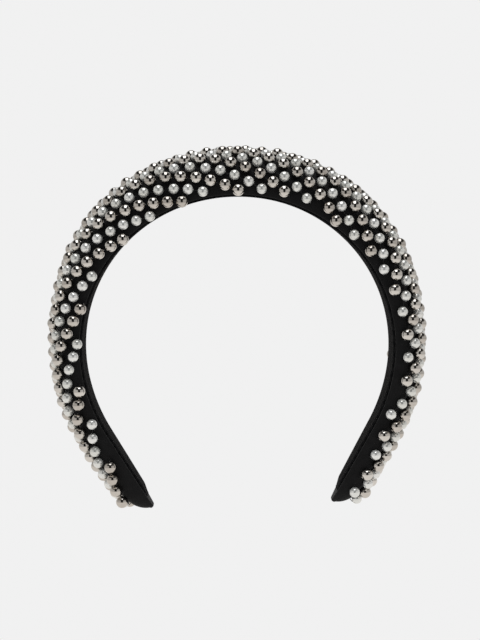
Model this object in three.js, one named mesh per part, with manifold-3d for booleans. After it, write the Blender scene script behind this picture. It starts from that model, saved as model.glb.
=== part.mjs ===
// Padded headband, sewn all over with slanting rows of round silver and pearl beads.
// Millimetres. +Z is up and the front faces -Y; the origin is the crown of the lining.
import * as THREE from 'three';
import Module from 'manifold-3d';

const wasm = await Module();
wasm.setup();

// hoop line, followed from the crown down one side along the lining's inner face
const crownRadius = 68;
const crownAngle = 39;         // degrees
const shoulderRadius = 63.6;
const shoulderAngle = 60.5;
const cheekRadius = 72;
const cheekAngle = 20.8;
const legLength = 37.5;        // straight run down to each tip

// band across
const bandWidthCrown = 38;     // front to back
const bandWidthTip = 14;
const padHeightCrown = 16.9;   // lining's inner face to the top of the cover
const padHeightSide = 10;
const padFallStart = 0.18;     // share of the half length where the padding starts to thin
const padFallEnd = 0.61;
const tipLength = 12;          // the ends round off over this length

// layers, counted outward from the head
const liningThickness = 0.7;
const liningSetback = 1.5;     // lining's edge to the band's edge
const liningEndGap = 5;
const coverThickness = 0.8;
const hemThickness = 0.7;
const hemWidth = 6;            // cover turned under the core
const coreThickness = 1.6;
const coreSetback = 1.4;
const coreEndGap = 5;
const coreEndClearance = 0.6;  // core's end to the inside of the cover
const foamSetback = 1.4;
const foamEndShare = 0.72;     // of tipLength
const hemSlotEndGap = 9;
const layerGap = 0.3;

// bead rows
const silverDiameter = 5.2;
const pearlDiameter = 4.5;
const threadRadius = 0.45;
const beadLift = 0.3;          // bead to cover
const columnGap = 0.03;        // silver bead to silver bead along the band, at the lining
const rowGap = 0.15;           // silver bead to pearl bead across the band
const rowStepLeft = 16.2;      // row to row along the front edge
const rowStepRight = 9.7;
const rowStepFrom = -57;       // the step changes between these two places
const rowStepTo = 40.5;
const firstRowAt = 4.1;        // a silver row starts here at the front edge
const edgeMargin = 0.8;        // outermost bead centre to the cover's edge
const leanMargin = 1.45;       // extra margin on one side of each leg
const tipMargin = 3;           // extra margin down the legs
const beadEndGap = 5;
const columnStart = 0.435;     // share of a column by which row 0 is shifted along the band
const columnLean = -0.25;      // and each further row beyond that

const stationStep = 8;
const wrapPoints = 14;
const beadSides = 5;
const fineSteps = 60;

const degree = Math.PI / 180;
const clamp = (x) => Math.min(1, Math.max(0, x));
const ease = (x) => clamp(x) ** 2 * (3 - 2 * clamp(x));
const mix = (a, b, x) => a + (b - a) * x;

const arcs = [
  [crownRadius, crownAngle * degree],
  [shoulderRadius, shoulderAngle * degree],
  [cheekRadius, cheekAngle * degree],
];
const halfLength = arcs.reduce((sum, [radius, angle]) => sum + radius * angle, legLength);
const crownFacetDrop = crownRadius * (1 - Math.cos(stationStep / 2 / crownRadius));

// layer heights above the lining's inner face
const hemBase = liningThickness + layerGap;
const coreBase = hemBase + hemThickness + layerGap;
const foamBase = coreBase + coreThickness + layerGap;

const cavityEndGap = coreEndGap - coreEndClearance;
const columnPitch = silverDiameter + columnGap;
const rowPitch = (silverDiameter + pearlDiameter) / 2 + rowGap;

// point at s along the hoop, y across it and r out from the lining's inner face
function hoopPoint(s, y, r) {
  const side = Math.sign(s) || 1;
  let rest = Math.abs(s);
  let turn = 0;
  let x = 0;
  let z = crownFacetDrop;
  for (const [radius, angle] of arcs) {
    const step = Math.min(rest / radius, angle);
    x += radius * (Math.sin(turn + step) - Math.sin(turn));
    z += radius * (Math.cos(turn + step) - Math.cos(turn));
    turn += step;
    rest -= step * radius;
  }
  x += rest * Math.cos(turn) + r * Math.sin(turn);
  z += -rest * Math.sin(turn) + r * Math.cos(turn);
  return new THREE.Vector3(side * x, y, z);
}

// how far into the rounded end a station lies, 0 to 1
const tipShare = (s) => clamp((Math.abs(s) - halfLength + tipLength) / tipLength);

function bandWidth(s) {
  const share = clamp(Math.abs(s) / halfLength);
  const plain = mix(bandWidthTip, bandWidthCrown, Math.max(0, Math.cos(share * Math.PI / 2)) ** 0.8);
  return plain * Math.sqrt(1 - (0.85 * tipShare(s)) ** 2);
}

function padTop(s) {
  const share = Math.abs(s) / halfLength;
  const plain = mix(padHeightCrown, padHeightSide, ease((share - padFallStart) / (padFallEnd - padFallStart)));
  return mix(hemBase, plain, Math.sqrt(1 - (0.97 * tipShare(s)) ** 2));
}

// D-shaped wrap line: [y, r] pairs from the back edge over the top to the front edge
function wrapLine(s, inset, base, top, count) {
  const power = 2 / (2.3 + 0.9 * clamp(1.4 * Math.abs(s) / halfLength));
  const half = bandWidth(s) / 2 - inset;
  const fine = [];
  const run = [0];
  for (let i = 0; i <= fineSteps; i++) {
    const phi = Math.PI * i / fineSteps;
    const y = half * Math.sign(Math.cos(phi)) * Math.abs(Math.cos(phi)) ** power;
    fine.push([y, base + (top - base) * Math.abs(Math.sin(phi)) ** power]);
    if (i) run.push(run[i - 1] + Math.hypot(y - fine[i - 1][0], fine[i][1] - fine[i - 1][1]));
  }
  const total = run[fineSteps];
  const at = (length) => {
    let i = 1;
    while (i < fineSteps && run[i] < length) i++;
    const share = clamp((length - run[i - 1]) / (run[i] - run[i - 1]));
    return [mix(fine[i - 1][0], fine[i][0], share), mix(fine[i - 1][1], fine[i][1], share)];
  };
  if (!count) return { total, at };
  return Array.from({ length: count + 1 }, (_, i) => at(total * i / count));
}

function toSolid(vertices, triangles) {
  return new wasm.Manifold(new wasm.Mesh({
    numProp: 3,
    vertProperties: Float32Array.from(vertices.flatMap((v) => v.toArray())),
    triVerts: Uint32Array.from(triangles),
  }));
}

// closed skin over rings of points, each end fanned to a pole
function skin(rings, startPole, endPole) {
  const sides = rings[0].length;
  const last = (rings.length - 1) * sides;
  const vertices = [...rings.flat(), startPole, endPole];
  const triangles = [];
  for (let j = 0; j < sides; j++) {
    const next = (j + 1) % sides;
    for (let row = 0; row < last; row += sides) {
      triangles.push(row + j, row + next, row + sides + next, row + j, row + sides + next, row + sides + j);
    }
    triangles.push(vertices.length - 2, next, j, vertices.length - 1, last + j, last + next);
  }
  return { vertices, triangles };
}

const middle = (ring) => ring.reduce((sum, v) => sum.add(v), new THREE.Vector3()).divideScalar(ring.length);

// stations shared by every layer, so that facets stay parallel from layer to layer
function stationsTo(end) {
  const half = [];
  for (let s = stationStep / 2; s < halfLength - tipLength - 1; s += stationStep) half.push(s);
  for (const share of [1, foamEndShare, 0.48, 0.28, 0.13, 0.04]) half.push(halfLength - tipLength * share);
  const kept = [...half.filter((s) => s < end - 0.2), end];
  return [...kept.map((s) => -s).reverse(), ...kept];
}

function sweep(end, sectionAt) {
  const rings = stationsTo(end).map((s) => sectionAt(s).map(([y, r]) => hoopPoint(s, y, r)));
  return skin(rings, middle(rings[0]), middle(rings[rings.length - 1]));
}

// flat strip whose edges stay a set distance inside the band's edges
function strip(end, halfAt, low, high) {
  return sweep(end, (s) => {
    const half = halfAt(s);
    return [[half, low], [half, high], [-half, high], [-half, low]];
  });
}

// bead-field edges, as arc lengths from the ridge; the field leans forward on the left
const plainHalfWrap = (s) => {
  const inner = Math.min(Math.abs(s), halfLength - tipLength);
  return wrapLine(inner, 0, hemBase, padTop(inner)).total / 2;
};
const frontMargin = (s) => edgeMargin + leanMargin * ease((s + 20) / 100)
  + tipMargin * ease((Math.abs(s) - 110) / 50);
const frontEdge = (s) => frontMargin(s) - plainHalfWrap(s);
const backEdge = (s) => plainHalfWrap(s) - frontMargin(-s);

// number of rows started at the front edge between the first row and s
function rowsStarted(s) {
  const span = rowStepTo - rowStepFrom;
  const count = (place) => {
    const x = clamp((place - rowStepFrom) / span);
    const beyond = Math.max(0, place - rowStepTo) / span;
    return place / rowStepLeft + (1 / rowStepRight - 1 / rowStepLeft) * span * (x ** 3 - x ** 4 / 2 + beyond);
  };
  return count(s) - count(firstRowAt);
}

// surface point and outward normal at s along and t across, t measured back from the ridge
function coverPoint(s, t) {
  const place = (a, b) => {
    const line = wrapLine(a, 0, hemBase, padTop(a));
    const [y, r] = line.at(line.total / 2 - b);
    return hoopPoint(a, y, r);
  };
  const point = place(s, t);
  const along = place(s + 0.4, t).sub(place(s - 0.4, t));
  const across = place(s, t + 0.4).sub(place(s, t - 0.4));
  return { point, normal: along.cross(across).normalize() };
}

function beadCentres(row, radius) {
  const centres = [];
  const lastPlace = halfLength - beadEndGap;
  const lastColumn = Math.ceil(lastPlace / columnPitch);
  const start = columnStart + columnLean * row;
  for (let column = lastColumn; column >= -lastColumn; column--) {
    const s = (column + start - Math.round(start)) * columnPitch;
    if (Math.abs(s) > lastPlace) continue;
    const t = frontEdge(s) + rowPitch * (row - rowsStarted(s));
    const reach = wrapLine(s, 0, hemBase, padTop(s)).total / 2 - Math.min(frontMargin(s), frontMargin(-s));
    if (t < Math.max(frontEdge(s), -reach) || t > Math.min(backEdge(s), reach)) continue;
    const { point, normal } = coverPoint(s, t);
    centres.push({ centre: point.addScaledVector(normal, radius + beadLift), normal });
  }
  return centres;
}

function ringAround(centre, travel, normal, radius) {
  const up = normal.clone().addScaledVector(travel, -normal.dot(travel)).normalize();
  const side = up.clone().cross(travel);
  return Array.from({ length: beadSides }, (_, i) => {
    const angle = 2 * Math.PI * i / beadSides;
    return centre.clone().addScaledVector(side, radius * Math.cos(angle)).addScaledVector(up, radius * Math.sin(angle));
  });
}

// one row of beads on its stitching thread
function beadRow(beads, radius) {
  const rings = [];
  const travels = beads.map((bead, i) => {
    const before = beads[Math.max(0, i - 1)].centre;
    const after = beads[Math.min(beads.length - 1, i + 1)].centre;
    return after.clone().sub(before).normalize();
  });
  beads.forEach(({ centre, normal }, i) => {
    for (const share of [-0.5, 0.5]) {
      const place = centre.clone().addScaledVector(travels[i], share * radius);
      rings.push(ringAround(place, travels[i], normal, 0.866 * radius));
    }
    if (i + 1 === beads.length) return;
    const next = beads[i + 1];
    const travel = next.centre.clone().sub(centre).normalize();
    rings.push(ringAround(centre.clone().lerp(next.centre, 0.5), travel, normal.clone().add(next.normal), threadRadius));
  });
  const first = beads[0].centre.clone().addScaledVector(travels[0], -radius);
  const last = beads[beads.length - 1].centre.clone().addScaledVector(travels[beads.length - 1], radius);
  return skin(rings, first, last);
}

const group = new THREE.Group();
const finish = {
  cover: { color: 0x0c0c0d, roughness: 0.88, metalness: 0 },
  lining: { color: 0x18181a, roughness: 0.8, metalness: 0 },
  core: { color: 0x26262a, roughness: 0.45, metalness: 0 },
  foam: { color: 0xd9d4c6, roughness: 0.95, metalness: 0 },
  silver: { color: 0xc2beb6, roughness: 0.14, metalness: 1 },
  pearl: { color: 0xe9e4d8, roughness: 0.24, metalness: 0 },
};

function addPart(name, look, { vertices, triangles }) {
  const geometry = new THREE.BufferGeometry();
  geometry.setAttribute('position', new THREE.Float32BufferAttribute(vertices.flatMap((v) => v.toArray()), 3));
  geometry.setIndex(triangles);
  const mesh = new THREE.Mesh(geometry, new THREE.MeshStandardMaterial({ ...finish[look], flatShading: true }));
  mesh.name = name;
  group.add(mesh);
}

// lining ribbon and springy core
addPart('lining', 'lining', strip(halfLength - liningEndGap, (s) => bandWidth(s) / 2 - liningSetback, 0, liningThickness));
addPart('core_band', 'core', strip(halfLength - coreEndGap, (s) => bandWidth(s) / 2 - coverThickness - coreSetback,
  coreBase, coreBase + coreThickness));

// foam on top of the core
addPart('foam_pad', 'foam', sweep(halfLength - tipLength * foamEndShare, (s) => wrapLine(s, coverThickness + foamSetback, foamBase,
  padTop(s) - coverThickness - layerGap, wrapPoints - 2)));

// cover: a skin wrapped over the foam and turned under the core, open under the lining
const outside = sweep(halfLength, (s) => wrapLine(s, 0, hemBase, padTop(s), wrapPoints));
const hollow = sweep(halfLength - cavityEndGap, (s) => wrapLine(s, coverThickness, hemBase + hemThickness,
  padTop(s) - coverThickness, wrapPoints));
const slot = strip(halfLength - hemSlotEndGap, (s) => bandWidth(s) / 2 - Math.min(hemWidth, 0.3 * bandWidth(s)),
  hemBase - 1, hemBase + hemThickness + 0.1);
const cover = toSolid(outside.vertices, outside.triangles)
  .subtract(toSolid(hollow.vertices, hollow.triangles))
  .subtract(toSolid(slot.vertices, slot.triangles))
  .getMesh();
const coverVertices = Array.from({ length: cover.numVert }, (_, i) => (
  new THREE.Vector3().fromArray(cover.vertProperties, i * cover.numProp)));
addPart('cover', 'cover', { vertices: coverVertices, triangles: Array.from(cover.triVerts) });

// bead rows, silver and pearl in turn from the left tip to the right
const counts = { silver: 0, pearl: 0 };
const firstRow = Math.floor(rowsStarted(-halfLength));
const lastRow = Math.ceil(rowsStarted(halfLength) + 2 * plainHalfWrap(halfLength) / rowPitch);
for (let row = firstRow; row <= lastRow; row++) {
  const kind = row % 2 ? 'pearl' : 'silver';
  const radius = (kind === 'silver' ? silverDiameter : pearlDiameter) / 2;
  const beads = beadCentres(row, radius);
  if (beads.length < 2) continue;
  counts[kind] += 1;
  addPart(`${kind}_row_${String(counts[kind]).padStart(2, '0')}`, kind, beadRow(beads, radius));
}

export default group;
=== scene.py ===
import math
import random

import bpy
import numpy as np
from mathutils import Matrix, Vector
from mathutils.bvhtree import BVHTree


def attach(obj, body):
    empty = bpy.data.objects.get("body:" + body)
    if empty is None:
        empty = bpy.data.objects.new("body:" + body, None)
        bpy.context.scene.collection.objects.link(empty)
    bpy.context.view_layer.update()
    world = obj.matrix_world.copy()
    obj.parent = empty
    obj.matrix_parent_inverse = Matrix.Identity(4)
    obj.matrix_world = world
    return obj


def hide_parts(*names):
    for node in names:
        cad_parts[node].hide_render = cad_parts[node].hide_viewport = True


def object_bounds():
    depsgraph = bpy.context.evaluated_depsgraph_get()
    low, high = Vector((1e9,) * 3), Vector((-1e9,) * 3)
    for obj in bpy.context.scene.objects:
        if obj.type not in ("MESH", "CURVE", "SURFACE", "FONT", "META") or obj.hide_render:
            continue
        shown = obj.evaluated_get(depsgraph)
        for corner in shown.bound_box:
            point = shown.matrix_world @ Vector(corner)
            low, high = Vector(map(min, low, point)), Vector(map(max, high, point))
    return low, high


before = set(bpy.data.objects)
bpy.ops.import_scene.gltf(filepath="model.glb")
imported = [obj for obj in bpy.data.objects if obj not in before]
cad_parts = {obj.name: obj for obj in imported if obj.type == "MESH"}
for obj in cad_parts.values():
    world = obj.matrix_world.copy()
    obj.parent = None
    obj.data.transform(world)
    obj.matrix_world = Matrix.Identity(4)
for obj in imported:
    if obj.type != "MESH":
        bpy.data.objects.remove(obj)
cadLow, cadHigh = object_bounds()
metre = 0.001  # all sizes below are in millimetres
print("frame loaded:", len(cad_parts), "CAD nodes")

# hoop line, followed from the crown down one side along the lining's inner face
hoop = {
    "crownRadius": 68.0,
    "crownAngle": 39.0,
    "shoulderRadius": 63.6,
    "shoulderAngle": 60.5,
    "cheekRadius": 72.0,
    "cheekAngle": 20.8,
    "legLength": 37.5,
    "facetHalf": 4.0,  # half of the flat facet at the crown of the frame
}
arcs = [
    (hoop[part + "Radius"], math.radians(hoop[part + "Angle"]))
    for part in ("crown", "shoulder", "cheek")
]
halfLength = sum(radius * angle for radius, angle in arcs) + hoop["legLength"]
crownDrop = hoop["crownRadius"] * (1 - math.cos(hoop["facetHalf"] / hoop["crownRadius"]))

band = {
    "widthCrown": 38.0,
    "widthTip": 14.0,
    "heightCrown": 16.9,
    "heightSide": 10.0,
    "fallStart": 0.18,
    "fallEnd": 0.61,
    "tipLength": 12.0,
    "hemBase": 1.0,
    "squareness": (2.3, 0.9, 1.4),  # of the wrap at the crown, how much it grows to the tips, how soon
    "normalStep": 0.4,
}


def clamp(x):
    return min(1.0, max(0.0, x))


def ease(x):
    x = clamp(x)
    return x * x * (3 - 2 * x)


def mix(a, b, x):
    return a + (b - a) * x


def hoopPoint(s, y, r):
    rest, turn, x, z = abs(s), 0.0, 0.0, crownDrop
    for radius, angle in arcs:
        step = min(rest / radius, angle)
        x += radius * (math.sin(turn + step) - math.sin(turn))
        z += radius * (math.cos(turn + step) - math.cos(turn))
        turn += step
        rest -= step * radius
    x += rest * math.cos(turn) + r * math.sin(turn)
    z += r * math.cos(turn) - rest * math.sin(turn)
    return Vector((math.copysign(x, s) if s else x, y, z)) * metre


def tipShare(s):
    return clamp((abs(s) - halfLength + band["tipLength"]) / band["tipLength"])


def bandWidth(s):
    fall = max(0.0, math.cos(clamp(abs(s) / halfLength) * math.pi / 2)) ** 0.8
    plain = mix(band["widthTip"], band["widthCrown"], fall)
    return plain * math.sqrt(1 - (0.85 * tipShare(s)) ** 2)


def padTop(s):
    share = abs(s) / halfLength
    fall = ease((share - band["fallStart"]) / (band["fallEnd"] - band["fallStart"]))
    plain = mix(band["heightCrown"], band["heightSide"], fall)
    return mix(band["hemBase"], plain, math.sqrt(1 - (0.97 * tipShare(s)) ** 2))


wrapAngles = np.linspace(0, math.pi, 61)


def wrapLine(s, inset=0.0, base=None, drop=0.0):  # y, r and run of the D-shaped wrap, back to front
    base = band["hemBase"] if base is None else base
    atCrown, growth, soon = band["squareness"]
    power = 2 / (atCrown + growth * clamp(soon * abs(s) / halfLength))
    cosines, sines = np.cos(wrapAngles), np.abs(np.sin(wrapAngles))
    y = (bandWidth(s) / 2 - inset) * np.sign(cosines) * np.abs(cosines) ** power
    r = base + (padTop(s) - drop - base) * sines**power
    run = np.concatenate([[0], np.cumsum(np.hypot(np.diff(y), np.diff(r)))])
    return y, r, run


def wrapPoint(s, t):  # t is measured from the ridge, towards the back
    y, r, run = wrapLine(s)
    place = run[-1] / 2 - t
    return hoopPoint(s, float(np.interp(place, run, y)), float(np.interp(place, run, r)))


def wrapNormal(s, t):
    step = band["normalStep"]
    along = wrapPoint(s + step, t) - wrapPoint(s - step, t)
    across = wrapPoint(s, t + step) - wrapPoint(s, t - step)
    return along.cross(across).normalized()


def makePiece(name, vertices, faces, material, smooth=True):
    mesh = bpy.data.meshes.new(name)
    mesh.from_pydata([tuple(v) for v in vertices], [], faces)
    mesh.update()
    if smooth:
        mesh.shade_smooth()
    mesh.materials.append(material)
    piece = bpy.data.objects.new(name, mesh)
    bpy.context.scene.collection.objects.link(piece)
    return piece


def applyModifiers(piece):
    bpy.context.view_layer.update()
    shaped = piece.evaluated_get(bpy.context.evaluated_depsgraph_get())
    mesh = bpy.data.meshes.new_from_object(shaped)
    mesh.name = piece.name
    piece.modifiers.clear()
    piece.data = mesh


def loftFaces(rows, columns, closed):  # quads between rows of points, facing out of the hoop
    last = columns if closed else columns - 1
    return [
        (i * columns + j, i * columns + (j + 1) % columns,
         (i + 1) * columns + (j + 1) % columns, (i + 1) * columns + j)
        for i in range(rows - 1)
        for j in range(last)
    ]


def capFaces(faces, vertices, start, count, flip):  # fan over a closed ring
    vertices.append(sum((vertices[start + j] for j in range(count)), Vector()) / count)
    pole = len(vertices) - 1
    for j in range(count):
        a, b = start + j, start + (j + 1) % count
        faces.append((pole, b, a) if flip else (pole, a, b))


# ---- finishes
def newMaterial(name, roughness, metallic=0.0):
    material = bpy.data.materials.new(name)
    material.use_nodes = True
    shader = material.node_tree.nodes["Principled BSDF"]
    shader.inputs["Roughness"].default_value = roughness
    shader.inputs["Metallic"].default_value = metallic
    return material, material.node_tree, shader


def addNode(tree, kind, **settings):
    node = tree.nodes.new(kind)
    for key, value in settings.items():
        if hasattr(node, key):
            setattr(node, key, value)
        else:
            node.inputs[key.replace("_", " ")].default_value = value
    return node


def grain(tree, scale, detail=4.0, roughness=0.55):
    place = addNode(tree, "ShaderNodeTexCoord")
    texture = addNode(tree, "ShaderNodeTexNoise", Scale=scale, Detail=detail, Roughness=roughness)
    tree.links.new(place.outputs["Object"], texture.inputs["Vector"])
    return texture.outputs["Fac"]


rampEnds = (0.3, 0.7)


def blendColours(tree, factor, dark, light):
    ramp = addNode(tree, "ShaderNodeValToRGB")
    ramp.color_ramp.elements[0].color = (*dark, 1)
    ramp.color_ramp.elements[1].color = (*light, 1)
    ramp.color_ramp.elements[0].position = rampEnds[0]
    ramp.color_ramp.elements[1].position = rampEnds[1]
    tree.links.new(factor, ramp.inputs["Fac"])
    return ramp.outputs["Color"]


def paint(tree, shader, factor, look):
    tree.links.new(blendColours(tree, factor, look["dark"], look["light"]), shader.inputs["Base Color"])


def spread(tree, factor, low, high):
    span = addNode(tree, "ShaderNodeMapRange")
    span.inputs["To Min"].default_value = low
    span.inputs["To Max"].default_value = high
    tree.links.new(factor, span.inputs["Value"])
    return span.outputs["Result"]


def combine(tree, operation, a, b):
    node = addNode(tree, "ShaderNodeMath", operation=operation)
    for socket, value in zip(node.inputs, (a, b)):
        if isinstance(value, float):
            socket.default_value = value
        else:
            tree.links.new(value, socket)
    return node.outputs["Value"]


def mixed(tree, a, shareA, b, shareB):
    return combine(tree, "ADD", combine(tree, "MULTIPLY", a, shareA), combine(tree, "MULTIPLY", b, shareB))


def addRelief(tree, shader, height, strength, depth):
    bump = addNode(tree, "ShaderNodeBump", Strength=strength, Distance=depth)
    tree.links.new(height, bump.inputs["Height"])
    tree.links.new(bump.outputs["Normal"], shader.inputs["Normal"])


threadWave = {"distortion": 0.6, "detail": 1.0}


def threads(tree, placeName, direction, pitch):  # rounded threads side by side, from the stored place
    place = addNode(tree, "ShaderNodeAttribute", attribute_name=placeName)
    wave = addNode(tree, "ShaderNodeTexWave", bands_direction=direction, Scale=math.pi / 10 / pitch)
    wave.inputs["Distortion"].default_value = threadWave["distortion"]
    wave.inputs["Detail"].default_value = threadWave["detail"]
    tree.links.new(place.outputs["Vector"], wave.inputs["Vector"])
    return wave.outputs["Fac"]


clothLook = {
    "dark": (0.0045, 0.0045, 0.0050),
    "light": (0.0105, 0.0102, 0.0106),
    "threadPitch": 0.55,
    "roughness": (0.70, 0.90),
    "sheen": 0.10,
    "sheenRoughness": 0.4,
    "specular": 0.16,
    "fuzzScale": 2600.0,
    "patchScale": 260.0,
    "weaveShare": 0.7,
    "fuzzShare": 0.6,
    "patchShares": (0.6, 0.45),  # broad patches and weave
    "relief": (0.5, 0.00012),  # strength and depth in metres
}


def coverCloth():
    material, tree, shader = newMaterial("blackCoverCloth", 0.8)
    warp = threads(tree, "clothPlace", "X", clothLook["threadPitch"])
    weft = threads(tree, "clothPlace", "Y", clothLook["threadPitch"])
    fuzz = grain(tree, clothLook["fuzzScale"], 3.0)
    weave = combine(tree, "MULTIPLY", combine(tree, "MAXIMUM", warp, weft), clothLook["weaveShare"])
    height = combine(tree, "ADD", weave, combine(tree, "MULTIPLY", fuzz, clothLook["fuzzShare"]))
    broad, fine = clothLook["patchShares"]
    # colour mixes broad patches of the cloth's own uneven tone with the weave, lighter on the raised threads
    # and darker between them: painted shade in the gaps of the weave
    patches = mixed(tree, grain(tree, clothLook["patchScale"]), broad, weave, fine)
    paint(tree, shader, patches, clothLook)
    tree.links.new(spread(tree, fuzz, *clothLook["roughness"]), shader.inputs["Roughness"])
    shader.inputs["Specular IOR Level"].default_value = clothLook["specular"]
    shader.inputs["Sheen Weight"].default_value = clothLook["sheen"]
    shader.inputs["Sheen Roughness"].default_value = clothLook["sheenRoughness"]
    addRelief(tree, shader, height, *clothLook["relief"])
    return material


ribbonLook = {
    "dark": (0.0050, 0.0050, 0.0055),
    "light": (0.0120, 0.0118, 0.0122),
    "threadPitch": 0.35,
    "roughness": (0.75, 0.90),
    "sheen": 0.01,
    "specular": 0.03,
    "fuzzScale": 1800.0,
    "toneShares": (0.5, 0.5),
    "relief": (0.4, 0.0001),
}


def liningRibbonCloth():
    material, tree, shader = newMaterial("ribbedRibbon", 0.6)
    strands = threads(tree, "ribbonPlace", "Y", ribbonLook["threadPitch"])
    fuzz = grain(tree, ribbonLook["fuzzScale"], 3.0)
    strandShare, fuzzShare = ribbonLook["toneShares"]
    # colour follows the relief, lighter on the raised strands and darker in the grooves between them
    # (painted shade), with a random fuzz of the ribbon's own tone mixed in
    tone = mixed(tree, strands, strandShare, fuzz, fuzzShare)
    paint(tree, shader, tone, ribbonLook)
    tree.links.new(spread(tree, fuzz, *ribbonLook["roughness"]), shader.inputs["Roughness"])
    shader.inputs["Specular IOR Level"].default_value = ribbonLook["specular"]
    shader.inputs["Sheen Weight"].default_value = ribbonLook["sheen"]
    addRelief(tree, shader, tone, *ribbonLook["relief"])
    return material


coreLook = {
    "dark": (0.018, 0.018, 0.020),
    "light": (0.032, 0.032, 0.035),
    "roughness": (0.34, 0.5),
    "flowScale": 900.0,
    "patchScale": 60.0,
    "relief": (0.15, 0.0001),
}


def mouldedCore():
    material, tree, shader = newMaterial("mouldedCore", 0.42)
    flow = grain(tree, coreLook["flowScale"], 5.0)
    paint(tree, shader, grain(tree, coreLook["patchScale"]), coreLook)
    tree.links.new(spread(tree, flow, *coreLook["roughness"]), shader.inputs["Roughness"])
    addRelief(tree, shader, flow, *coreLook["relief"])
    return material


foamLook = {
    "dark": (0.56, 0.51, 0.40),
    "light": (0.80, 0.76, 0.66),
    "roughness": (0.88, 1.0),
    "cellScale": 900.0,
    "patchScale": 120.0,
    "relief": (0.8, 0.0004),
}


def openCellFoam():
    material, tree, shader = newMaterial("openCellFoam", 0.95)
    place = addNode(tree, "ShaderNodeTexCoord")
    cells = addNode(tree, "ShaderNodeTexVoronoi", Scale=foamLook["cellScale"])
    tree.links.new(place.outputs["Object"], cells.inputs["Vector"])
    # colour follows the cells' depth, darker in the low pits than on the cell walls: painted shade in the
    # foam's pores
    paint(tree, shader, cells.outputs["Distance"], foamLook)
    patches = grain(tree, foamLook["patchScale"])
    tree.links.new(spread(tree, patches, *foamLook["roughness"]), shader.inputs["Roughness"])
    addRelief(tree, shader, cells.outputs["Distance"], *foamLook["relief"])
    return material


silverLook = {
    "dark": (0.60, 0.565, 0.525),
    "light": (0.76, 0.735, 0.70),
    "roughness": (0.045, 0.10),
    "wearScale": 700.0,
    "toneShares": (0.6, 0.4),  # the bead's own tone and the wear
    "waveScale": 480.0,
    "relief": (0.06, 0.0003),
}


def polishedSilver():
    material, tree, shader = newMaterial("polishedSilver", 0.07, 1.0)
    tone = addNode(tree, "ShaderNodeAttribute", attribute_name="beadTone").outputs["Fac"]
    wear = grain(tree, silverLook["wearScale"], 5.0)
    toneShare, wearShare = silverLook["toneShares"]
    patches = mixed(tree, tone, toneShare, wear, wearShare)
    paint(tree, shader, patches, silverLook)
    tree.links.new(spread(tree, wear, *silverLook["roughness"]), shader.inputs["Roughness"])
    addRelief(tree, shader, grain(tree, silverLook["waveScale"], 2.0), *silverLook["relief"])
    return material


pearlLook = {
    "dark": (0.84, 0.85, 0.81),
    "light": (0.96, 0.97, 0.955),
    "roughness": (0.11, 0.19),
    "mirror": 0.56,  # how much of the lustre is mirror-like
    "coatIndex": 1.85,
    "coatRoughness": 0.05,
    "cloudScale": 420.0,
    "toneShares": (0.5, 0.5),
    "relief": (0.05, 0.0002),
}


def pearlLustre():
    material, tree, shader = newMaterial("pearlLustre", 0.2, pearlLook["mirror"])
    tone = addNode(tree, "ShaderNodeAttribute", attribute_name="beadTone").outputs["Fac"]
    cloud = grain(tree, pearlLook["cloudScale"], 3.0)
    toneShare, cloudShare = pearlLook["toneShares"]
    patches = mixed(tree, tone, toneShare, cloud, cloudShare)
    paint(tree, shader, patches, pearlLook)
    tree.links.new(spread(tree, cloud, *pearlLook["roughness"]), shader.inputs["Roughness"])
    shader.inputs["Coat Weight"].default_value = 1.0
    shader.inputs["Coat Roughness"].default_value = pearlLook["coatRoughness"]
    shader.inputs["Coat IOR"].default_value = pearlLook["coatIndex"]
    addRelief(tree, shader, cloud, *pearlLook["relief"])
    return material


threadLook = {
    "dark": (0.006, 0.006, 0.007),
    "light": (0.02, 0.02, 0.022),
    "roughness": (0.55, 0.8),
    "twistScale": 3000.0,
    "relief": (0.4, 0.0001),
}


def blackThread():
    material, tree, shader = newMaterial("blackThread", 0.7)
    twist = grain(tree, threadLook["twistScale"], 2.0)
    paint(tree, shader, twist, threadLook)
    tree.links.new(spread(tree, twist, *threadLook["roughness"]), shader.inputs["Roughness"])
    addRelief(tree, shader, twist, *threadLook["relief"])
    return material


clothMaterial = coverCloth()
threadMaterial = blackThread()
print("finishes made")

# where every bead goes, row by row
beadRows = {
    "silverDiameter": 5.2,
    "pearlDiameter": 4.5,
    "columnGap": 0.03,
    "rowGap": 0.15,
    "stepLeft": 16.2,
    "stepRight": 9.7,
    "stepFrom": -57.0,
    "stepTo": 40.5,
    "firstAt": 4.1,
    "edgeMargin": 0.8,
    "leanMargin": 1.45,
    "tipMargin": 3.0,
    "endGap": 5.0,
    "columnStart": 0.435,
    "columnLean": -0.25,
    "leanFrom": -20.0,
    "leanOver": 100.0,
    "tipFrom": 110.0,
    "tipOver": 50.0,
    "wander": 0.14,  # hand-sewn unevenness
    "sink": 0.15,  # a bead presses this far into the cloth
    "tilt": 9.0,
    "sizeSpread": (-0.012, 0.008),
    "seed": 7,
}
columnPitch = beadRows["silverDiameter"] + beadRows["columnGap"]
rowPitch = (beadRows["silverDiameter"] + beadRows["pearlDiameter"]) / 2 + beadRows["rowGap"]


def plainHalfWrap(s):
    return wrapLine(min(abs(s), halfLength - band["tipLength"]))[2][-1] / 2


def frontMargin(s):
    lean = beadRows["leanMargin"] * ease((s - beadRows["leanFrom"]) / beadRows["leanOver"])
    tip = beadRows["tipMargin"] * ease((abs(s) - beadRows["tipFrom"]) / beadRows["tipOver"])
    return beadRows["edgeMargin"] + lean + tip


def rowsStarted(s):
    span = beadRows["stepTo"] - beadRows["stepFrom"]
    change = (1 / beadRows["stepRight"] - 1 / beadRows["stepLeft"]) * span

    def count(place):
        x = clamp((place - beadRows["stepFrom"]) / span)
        beyond = max(0.0, place - beadRows["stepTo"]) / span
        return place / beadRows["stepLeft"] + change * (x**3 - x**4 / 2 + beyond)

    return count(s) - count(beadRows["firstAt"])


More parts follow.
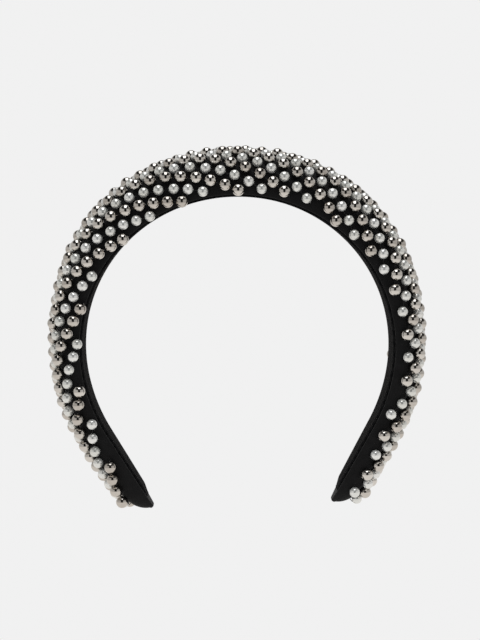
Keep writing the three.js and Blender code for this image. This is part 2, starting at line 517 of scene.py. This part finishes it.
def rowPlaces(row):  # s and t of each bead, from the front edge upward
    lastPlace = halfLength - beadRows["endGap"]
    lastColumn = math.ceil(lastPlace / columnPitch)
    start = beadRows["columnStart"] + beadRows["columnLean"] * row
    places = []
    for column in range(lastColumn, -lastColumn - 1, -1):
        s = (column + start - math.floor(start + 0.5)) * columnPitch
        if abs(s) > lastPlace:
            continue
        frontEdge = frontMargin(s) - plainHalfWrap(s)
        backEdge = plainHalfWrap(s) - frontMargin(-s)
        t = frontEdge + rowPitch * (row - rowsStarted(s))
        reach = wrapLine(s)[2][-1] / 2 - min(frontMargin(s), frontMargin(-s))
        if max(frontEdge, -reach) <= t <= min(backEdge, reach):
            places.append((s, t))
    return places


sewnRows = []  # node name, kind, bead places
rowCounts = {"silver": 0, "pearl": 0}
lastRow = math.ceil(rowsStarted(halfLength) + 2 * plainHalfWrap(halfLength) / rowPitch)
for row in range(math.floor(rowsStarted(-halfLength)), lastRow + 1):
    places = rowPlaces(row)
    if len(places) < 2:
        continue
    kind = "pearl" if row % 2 else "silver"
    rowCounts[kind] += 1
    sewnRows.append((f"{kind}_row_{rowCounts[kind]:02d}", kind, places))
print("bead rows planned:", len(sewnRows), "with", sum(len(r[2]) for r in sewnRows), "beads")

# ---- cover: cloth wrapped over the padding and turned under, puffed up between the bead stitches
cover = {
    "stationStep": 2.2,
    "wrapPoints": 34,
    "hemWidth": 6.0,
    "hemPoints": 4,
    "thickness": 0.7,
    "workScale": 20.0,  # the cloth is worked out larger, so that it isn't too stiff for its size
    "pressure": 40.0,
    "frames": 14,
    "mostPuff": 0.7,
    "stitchReach": 1.25,
    "hemHeld": 6.5,
    "tipHeld": 3.0,
    "hemShare": 0.6,  # most of the half width that a hem takes
    "hemsMeetFrom": 12.5,  # from the tip, where the two hems start to meet
    "hemsMeetOver": 3.0,
    "foldRadius": 0.5,
    "edgeRadius": 0.25,
    "endCaps": ((0.8, 0.35), (0.5, 0.6), (0.2, 0.7)),  # share of the end's outline, bulge
    "capDepth": 8.0,  # how far the weave runs on over an end
    "quality": 4,
    "tipShares": (0.0, 0.16, 0.31, 0.45, 0.58, 0.70, 0.80, 0.88, 0.94, 0.98, 1.0),
}


def coverStations():
    straight = halfLength - band["tipLength"]
    count = round(straight / cover["stationStep"])
    half = [straight * (i + 0.5) / (count + 0.5) for i in range(count)]
    half += [straight + band["tipLength"] * share for share in cover["tipShares"]]
    return [-s for s in reversed(half)] + half


def coverSection(s):  # hem edge, under, round the back edge, over, and down to the other hem edge
    half = bandWidth(s) / 2
    meeting = ease((abs(s) - halfLength + cover["hemsMeetFrom"]) / cover["hemsMeetOver"])
    hemEdge = (half - min(cover["hemWidth"], cover["hemShare"] * half)) * (1 - meeting)
    under = np.linspace(hemEdge, half - cover["foldRadius"], cover["hemPoints"])
    y, r, run = wrapLine(s)
    places = np.linspace(cover["edgeRadius"], run[-1] - cover["edgeRadius"], cover["wrapPoints"])
    wrapped = list(zip(np.interp(places, run, y), np.interp(places, run, r)))
    back = [(a, band["hemBase"]) for a in under]
    front = [(-a, band["hemBase"]) for a in reversed(under)]
    return np.array(back + wrapped + front)


def buildCover():
    stations = coverStations()
    vertices, places = [], []
    for s in stations:
        line = coverSection(s)
        run = np.concatenate([[0], np.cumsum(np.linalg.norm(np.diff(line, axis=0), axis=1))])
        vertices += [hoopPoint(s, y, r) for y, r in line]
        places += [(s, place, min(place, run[-1] - place)) for place in run]
    columns = len(coverSection(0.0))
    faces = loftFaces(len(stations), columns, False)
    for start, side in ((0, -1), ((len(stations) - 1) * columns, 1)):
        inner, last = start, start
        ring = [vertices[start + j] for j in range(columns)]
        middle = sum(ring, Vector()) / columns
        end, beyond = (hoopPoint(side * (halfLength + ahead), 0, 0) for ahead in (0, 1))
        outward = (beyond - end).normalized()
        for share, bulge in cover["endCaps"]:
            last = len(vertices)
            for point in ring:
                vertices.append(middle.lerp(point, share) + outward * bulge * metre)
                places.append((side * (halfLength + bulge), share * cover["capDepth"], 0.0))
            for j in range(columns - 1):
                quad = (inner + j, inner + j + 1, last + j + 1, last + j)
                faces.append(quad if side > 0 else quad[::-1])
            inner = last
        capFaces(faces, vertices, last, columns, side < 0)
        places.append((side * halfLength, 0.0, 0.0))
    piece = makePiece("coverCloth", vertices, faces, clothMaterial)
    piece.data.attributes.new("clothPlace", "FLOAT_VECTOR", "POINT").data.foreach_set(
        "vector", np.array(places, np.float32).ravel())
    return piece


def weldSeams(piece):  # the hem edges meet along the middle near the tips
    weld = piece.modifiers.new("weld", "WELD")
    weld.merge_threshold = 0.02 * metre
    applyModifiers(piece)


def puffBetweenStitches(piece):  # cloth under pressure, held down at the hems and under every bead
    mesh = piece.data
    rest = np.array([v.co for v in mesh.vertices])
    feet = BVHTree.FromPolygons(
        [p for _, _, places in sewnRows for s, t in places for p in [wrapPoint(s, t)] * 3],
        [(i, i + 1, i + 2) for i in range(0, 3 * sum(len(r[2]) for r in sewnRows), 3)])
    held = piece.vertex_groups.new(name="held")
    for vertex in mesh.vertices:
        gap = feet.find_nearest(vertex.co)[3]
        s, _, fromHem = mesh.attributes["clothPlace"].data[vertex.index].vector
        stitched = gap < cover["stitchReach"] * metre
        if stitched or fromHem < cover["hemHeld"] or abs(s) > halfLength - cover["tipHeld"]:
            held.add([vertex.index], 1.0, "REPLACE")
    mesh.transform(Matrix.Scale(cover["workScale"], 4))
    cloth = piece.modifiers.new("cloth", "CLOTH")
    cloth.settings.vertex_group_mass = "held"
    cloth.settings.use_pressure = True
    cloth.settings.uniform_pressure_force = cover["pressure"]
    cloth.settings.effector_weights.gravity = 0
    cloth.settings.quality = cover["quality"]
    cloth.collision_settings.use_collision = False
    scene = bpy.context.scene
    for number in range(1, cover["frames"] + 1):
        scene.frame_set(number)
    shaped = piece.evaluated_get(bpy.context.evaluated_depsgraph_get())
    moved = np.array([v.co for v in shaped.data.vertices]) / cover["workScale"] - rest
    scene.frame_set(1)
    piece.modifiers.clear()
    length = np.linalg.norm(moved, axis=1)
    limit = cover["mostPuff"] * metre
    keep = np.where(length > limit, limit / np.maximum(length, 1e-9), 1.0)
    mesh.vertices.foreach_set("co", (rest + moved * keep[:, None]).astype(np.float32).ravel())
    mesh.update()
    piece.vertex_groups.clear()
    print("cover puffed by up to", round(float(length.max()) / metre, 2), "mm, kept to", cover["mostPuff"])


coverPiece = buildCover()
weldSeams(coverPiece)
puffBetweenStitches(coverPiece)
smoothing = coverPiece.modifiers.new("smoothing", "SUBSURF")
smoothing.levels = smoothing.render_levels = 1
applyModifiers(coverPiece)
coverSkin = BVHTree.FromPolygons([v.co.copy() for v in coverPiece.data.vertices],
                                 [tuple(p.vertices) for p in coverPiece.data.polygons])
thickness = coverPiece.modifiers.new("thickness", "SOLIDIFY")
thickness.thickness = cover["thickness"] * metre
thickness.offset = -1
applyModifiers(coverPiece)
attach(coverPiece, "root")
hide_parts("cover")
print("cover made:", len(coverPiece.data.vertices), "points")

# ---- foam pad under the cover
foam = {
    "base": 3.9,
    "inset": 2.2,
    "drop": 1.3,
    "end": 8.64,
    "stations": 150,
    "wrapPoints": 26,
    "underPoints": 9,
}


def buildFoam():
    vertices = []
    end = halfLength - foam["end"]
    for s in np.linspace(-end, end, foam["stations"]):
        y, r, run = wrapLine(float(s), foam["inset"], foam["base"], foam["drop"])
        places = np.linspace(0, run[-1], foam["wrapPoints"])
        line = list(zip(np.interp(places, run, y), np.interp(places, run, r)))
        under = np.linspace(line[-1][0], line[0][0], foam["underPoints"])[1:-1]
        line += [(float(a), foam["base"]) for a in under]
        vertices += [hoopPoint(float(s), float(y), float(r)) for y, r in line]
    columns = foam["wrapPoints"] + foam["underPoints"] - 2
    faces = loftFaces(foam["stations"], columns, True)
    capFaces(faces, vertices, 0, columns, True)
    capFaces(faces, vertices, (foam["stations"] - 1) * columns, columns, False)
    return makePiece("foamPad", vertices, faces, openCellFoam())


foamPiece = buildFoam()
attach(foamPiece, "root")
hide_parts("foam_pad")
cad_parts["core_band"].data.materials[0] = mouldedCore()
print("foam pad and core made")

# ---- lining ribbon with its cross ribs
lining = {
    "bondedAt": 1.03,  # the ribbon's outer face sits against the hems
    "setback": 1.5,
    "endGap": 5.0,
    "endHeight": 0.8,  # the ends are pressed down thin
    "endSlope": 5.0,
    "ribPitch": 1.15,
    "ribHeight": 0.055,
    "samplesPerRib": 4,
    "thinEnd": 0.06,
    "edgeRound": 0.12,
    "ribsWithin": 0.95,  # share of the half width
    "widthPoints": 9,
}


def buildLining():
    end = halfLength - lining["endGap"]
    count = int(2 * end / lining["ribPitch"]) * lining["samplesPerRib"] + 1
    vertices, places = [], []
    for s in np.linspace(-end, end, count):
        half = bandWidth(s) / 2 - lining["setback"]
        rib = lining["ribHeight"] * math.cos(2 * math.pi * s / lining["ribPitch"])
        across = np.linspace(-1, 1, lining["widthPoints"])
        low = mix(lining["thinEnd"], lining["endHeight"], ease((abs(s) - end) / lining["endSlope"] + 1))
        inner = [(half * a, low - rib * (abs(a) < lining["ribsWithin"])) for a in across[::-1]]
        outer = [(half * a, lining["bondedAt"]) for a in across]
        edge = (lining["bondedAt"] + low) / 2
        side = half + lining["edgeRound"]
        for y, r in outer + [(side, edge)] + inner + [(-side, edge)]:
            vertices.append(hoopPoint(float(s), float(y), float(r)))
            places.append((s, y, 0.0))
    columns = 2 * lining["widthPoints"] + 2
    faces = [face[::-1] for face in loftFaces(count, columns, True)]
    capFaces(faces, vertices, 0, columns, False)
    capFaces(faces, vertices, (count - 1) * columns, columns, True)
    places += [(-end, 0, 0), (end, 0, 0)]
    piece = makePiece("liningRibbon", vertices, faces, liningRibbonCloth())
    piece.data.attributes.new("ribbonPlace", "FLOAT_VECTOR", "POINT").data.foreach_set(
        "vector", np.array(places, np.float32).ravel())
    return piece


liningPiece = buildLining()
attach(liningPiece, "root")
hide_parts("lining")
print("lining made")

# ---- beads: each is a drilled round bead, threaded along its row
bead = {"around": 20, "holeShare": 0.15, "holeReach": 0.9, "rimAngle": 12.0, "profileSteps": 12}
thread = {
    "radius": 0.16,
    "sides": 6,
    "footReach": 1.1,  # the reaches and the two depths below are shares of the bead's radius
    "outReach": 1.12,
    "outDepth": 0.5,
    "holeReach": 0.8,
    "sagDepth": 0.55,
    "footDepth": 0.3,  # millimetres into the cloth
}


def beadTemplate():  # unit bead, drilled along X
    rim = math.radians(bead["rimAngle"])
    angles = np.linspace(rim, math.pi - rim, bead["profileSteps"] + 1)
    profile = [(math.cos(a), math.sin(a)) for a in angles]
    profile += [(x, bead["holeShare"]) for x in (-bead["holeReach"], bead["holeReach"])]
    vertices = []
    for k in range(bead["around"]):
        turn = 2 * math.pi * k / bead["around"]
        vertices += [(x, radius * math.cos(turn), radius * math.sin(turn)) for x, radius in profile]
    columns = len(profile)
    faces = []
    for k in range(bead["around"]):
        for j in range(columns):
            a, b = k * columns, (k + 1) % bead["around"] * columns
            faces.append((a + j, a + (j + 1) % columns, b + (j + 1) % columns, b + j))
    return np.array(vertices), np.array(faces)


beadShape, beadFaces = beadTemplate()
chance = random.Random(beadRows["seed"])


def seatBeads(places, radius):  # bead centres and outward directions on the finished cover
    seats = []
    for s, t in places:
        wander = beadRows["wander"]
        s2, t2 = s + chance.uniform(-wander, wander), t + chance.uniform(-wander, wander)
        normal = wrapNormal(s2, t2)
        foot = coverSkin.find_nearest(wrapPoint(s2, t2))[0]
        seats.append((foot + normal * (radius - beadRows["sink"]) * metre, normal, foot))
    return seats


def buildRow(name, kind, places, material):
    radius = beadRows[kind + "Diameter"] / 2
    seats = seatBeads(places, radius)
    centres = [seat[0] for seat in seats]
    vertices, tones = [], []
    for i, (centre, normal, _) in enumerate(seats):
        travel = (centres[min(i + 1, len(seats) - 1)] - centres[max(i - 1, 0)]).normalized()
        side = normal.cross(travel).normalized()
        turn = Matrix((travel, side, travel.cross(side))).transposed()
        tilt = math.radians(beadRows["tilt"])
        turn = Matrix.Rotation(chance.uniform(-tilt, tilt), 3, side) @ turn
        turn = Matrix.Rotation(chance.uniform(-tilt, tilt), 3, normal) @ turn
        size = radius * metre * (1 + chance.uniform(*beadRows["sizeSpread"]))
        vertices.append(beadShape @ np.array(turn).T * size + np.array(centre))
        tones += [chance.random()] * len(beadShape)
    faces = np.vstack([beadFaces + i * len(beadShape) for i in range(len(seats))])
    piece = makePiece(name + "_beads", np.vstack(vertices), faces.tolist(), material)
    piece.data.attributes.new("beadTone", "FLOAT", "POINT").data.foreach_set("value", tones)
    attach(piece, "root")
    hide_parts(name)
    return seats


def threadLine(seats, radius):  # down into the cloth, through each bead, and back to the cloth between beads
    line = []
    centres = [seat[0] for seat in seats]
    for i, (centre, normal, foot) in enumerate(seats):
        travel = (centres[min(i + 1, len(seats) - 1)] - centres[max(i - 1, 0)]).normalized()
        reach = travel * radius * metre
        sewn = normal * thread["footDepth"] * metre
        turned = normal * radius * thread["outDepth"] * metre
        if i == 0:
            line += [foot - reach * thread["footReach"] - sewn, centre - reach * thread["outReach"] - turned]
        line += [centre - reach * thread["holeReach"], centre, centre + reach * thread["holeReach"]]
        if i + 1 < len(seats):
            line.append((centre + centres[i + 1]) / 2 - normal * radius * thread["sagDepth"] * metre)
        else:
            line += [centre + reach * thread["outReach"] - turned, foot + reach * thread["footReach"] - sewn]
    return line


def addTube(vertices, faces, line, radius):
    start = len(vertices)
    side = None
    for i, point in enumerate(line):
        travel = (line[min(i + 1, len(line) - 1)] - line[max(i - 1, 0)]).normalized()
        side = travel.orthogonal() if side is None else side - travel * side.dot(travel)
        side.normalize()
        up = travel.cross(side)
        for k in range(thread["sides"]):
            turn = 2 * math.pi * k / thread["sides"]
            vertices.append(point + (side * math.cos(turn) + up * math.sin(turn)) * radius * metre)
    sides = thread["sides"]
    for i in range(len(line) - 1):
        for k in range(sides):
            a, b = start + i * sides + k, start + i * sides + (k + 1) % sides
            faces.append((a, b, b + sides, a + sides))
    faces.append(tuple(start + k for k in reversed(range(sides))))
    faces.append(tuple(start + (len(line) - 1) * sides + k for k in range(sides)))


beadMaterials = {"silver": polishedSilver(), "pearl": pearlLustre()}
threadVertices, threadFaces = [], []
for name, kind, places in sewnRows:
    seats = buildRow(name, kind, places, beadMaterials[kind])
    line = threadLine(seats, beadRows[kind + "Diameter"] / 2)
    addTube(threadVertices, threadFaces, line, thread["radius"])
threadPiece = makePiece("beadThread", threadVertices, threadFaces, threadMaterial)
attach(threadPiece, "root")
print("bead rows sewn on")

# ---- floor, light and camera
studio = {
    "paleness": 0.879,  # floor and surround as the camera sees them
    "fill": 0.66,  # even light that reaches the matt surfaces
    "floorTint": (1.0, 0.962, 0.915),
    "floorGlow": (0.80, 0.46),  # what the beads see below them, near and far
    "floorFade": (0.1, 0.7),
    "floorRadius": 6.0,
    "floorGap": 2.0,
    "wallTint": (1.0, 0.975, 0.94),
    "wallGlow": (0.52, 0.03),  # walls and ceiling
    "wallFade": (0.42, 0.68),
    "openingSize": (0.43, 0.54),  # unlit opening towards the camera, as shares of the room's radius
    "openingHeight": 0.2,
    "openingEdge": (0.75, 1.1),
    "openingGlow": (0.02, 1.0),
    "boxSize": (0.75, 1.45),
    "boxHeight": 1.15,
    "boxForward": 0.02,
    "boxPower": 6.6,
}


def paleRoom(tree, reflected):  # even and pale, but shaped for what the shiny beads reflect
    path = addNode(tree, "ShaderNodeLightPath")
    colour = reflected
    for ray, level in (("Is Diffuse Ray", studio["fill"]), ("Is Camera Ray", studio["paleness"])):
        choice = addNode(tree, "ShaderNodeMix", data_type="RGBA")
        tree.links.new(path.outputs[ray], choice.inputs["Factor"])
        tree.links.new(colour, choice.inputs[6])
        choice.inputs[7].default_value = (level, level, level, 1)
        colour = choice.outputs[2]
    return colour


def reflected(tree, level, direction, tint):  # what shiny beads see, with the unlit opening ahead left dark
    wide, tall = studio["openingSize"]
    oval = addNode(tree, "ShaderNodeVectorMath", operation="MULTIPLY_ADD")
    oval.inputs[1].default_value = (1 / wide, 0.0, 1 / tall)
    oval.inputs[2].default_value = (0.0, 0.0, -studio["openingHeight"] / tall)
    tree.links.new(direction, oval.inputs[0])
    off = addNode(tree, "ShaderNodeVectorMath", operation="LENGTH")
    tree.links.new(oval.outputs["Vector"], off.inputs[0])
    parts = addNode(tree, "ShaderNodeSeparateXYZ")
    tree.links.new(direction, parts.inputs["Vector"])
    behind = combine(tree, "GREATER_THAN", parts.outputs["Y"], 0.0)
    outside = combine(tree, "ADD", off.outputs["Value"], behind)
    shade = fade(tree, outside, studio["openingEdge"], studio["openingGlow"])
    lit = combine(tree, "MULTIPLY", level, shade)
    colour = addNode(tree, "ShaderNodeCombineColor")
    for channel, share in zip(("Red", "Green", "Blue"), tint):
        tree.links.new(combine(tree, "MULTIPLY", lit, share), colour.inputs[channel])
    return colour.outputs["Color"]


def fade(tree, value, start, end):
    step = addNode(tree, "ShaderNodeMapRange", interpolation_type="SMOOTHSTEP")
    for key, number in zip(("From Min", "From Max", "To Min", "To Max"), start + end):
        step.inputs[key].default_value = number
    tree.links.new(value, step.inputs["Value"])
    return step.outputs["Result"]


def buildFloor():
    material = bpy.data.materials.new("paleFloor")
    material.use_nodes = True
    tree = material.node_tree
    tree.nodes.clear()
    place = addNode(tree, "ShaderNodeTexCoord")
    reach, ray = (addNode(tree, "ShaderNodeVectorMath", operation=kind) for kind in ("LENGTH", "NORMALIZE"))
    tree.links.new(place.outputs["Object"], reach.inputs[0])
    tree.links.new(place.outputs["Object"], ray.inputs[0])
    level = fade(tree, reach.outputs["Value"], studio["floorFade"], studio["floorGlow"])
    # the floor glows instead of being lit (painted light): an even pale to the camera, a dimmer fill for
    # matt surfaces, and for the beads' reflections a glow fading from near to far with the unlit opening
    # left dark
    glow = addNode(tree, "ShaderNodeEmission")
    seen = reflected(tree, level, ray.outputs["Vector"], studio["floorTint"])
    tree.links.new(paleRoom(tree, seen), glow.inputs["Color"])
    tree.links.new(glow.outputs["Emission"], addNode(tree, "ShaderNodeOutputMaterial").inputs["Surface"])
    height = cadLow.z - studio["floorGap"] * metre
    corners = 48
    turns = [2 * math.pi * k / corners for k in range(corners)]
    rim = [(studio["floorRadius"] * math.cos(a), studio["floorRadius"] * math.sin(a), height) for a in turns]
    floor = makePiece("floor", rim, [tuple(range(corners))], material, False)


def buildSurround():
    world = bpy.data.worlds.new("studioRoom")
    world.use_nodes = True
    tree = world.node_tree
    tree.nodes.clear()
    place = addNode(tree, "ShaderNodeTexCoord")
    parts = addNode(tree, "ShaderNodeSeparateXYZ")
    tree.links.new(place.outputs["Generated"], parts.inputs["Vector"])
    level = fade(tree, parts.outputs["Z"], studio["wallFade"], studio["wallGlow"])
    back = addNode(tree, "ShaderNodeBackground")
    seen = reflected(tree, level, place.outputs["Generated"], studio["wallTint"])
    tree.links.new(paleRoom(tree, seen), back.inputs["Color"])
    tree.links.new(back.outputs["Background"], addNode(tree, "ShaderNodeOutputWorld").inputs["Surface"])
    bpy.context.scene.world = world


def buildSoftBox():
    light = bpy.data.lights.new("overheadSoftBox", "AREA")
    light.shape = "RECTANGLE"
    light.size, light.size_y = studio["boxSize"]
    light.energy = studio["boxPower"]
    holder = bpy.data.objects.new("overheadSoftBox", light)
    bpy.context.scene.collection.objects.link(holder)
    holder.location = (0.0, -studio["boxForward"], studio["boxHeight"])
    target = (cadLow + cadHigh) / 2
    holder.rotation_euler = (target - holder.location).to_track_quat("-Z", "Y").to_euler()
    holder.visible_camera = False


camera = {
    "distance": 0.870,
    "azimuth": -0.223,
    "elevation": 4.382,
    "roll": -1.829,
    "lens": 113.1,
    "target": (0.0, 0.0, -0.060),
    "aimRight": 0.00121,
    "aimUp": 0.00684,
}


def buildCamera():
    azimuth, elevation, roll = (math.radians(camera[key]) for key in ("azimuth", "elevation", "roll"))
    forward = Vector((-math.sin(azimuth) * math.cos(elevation), math.cos(azimuth) * math.cos(elevation),
                      -math.sin(elevation)))
    level = forward.cross(Vector((0, 0, 1))).normalized()
    upright = level.cross(forward)
    right = level * math.cos(roll) + upright * math.sin(roll)
    up = upright * math.cos(roll) - level * math.sin(roll)
    target = Vector(camera["target"])
    place = target - forward * camera["distance"]
    aim = target + right * camera["aimRight"] + up * camera["aimUp"]
    forward = (aim - place).normalized()
    right = forward.cross(up).normalized()
    up = right.cross(forward)
    data = bpy.data.cameras.new("viewCamera")
    data.lens = camera["lens"]
    data.sensor_width = 36.0
    holder = bpy.data.objects.new("viewCamera", data)
    bpy.context.scene.collection.objects.link(holder)
    holder.matrix_world = Matrix.Translation(place) @ Matrix((right, up, -forward)).transposed().to_4x4()
    bpy.context.scene.camera = holder


buildFloor()
buildSurround()
buildSoftBox()
buildCamera()
bpy.context.scene.view_settings.view_transform = "Standard"
print("studio ready")
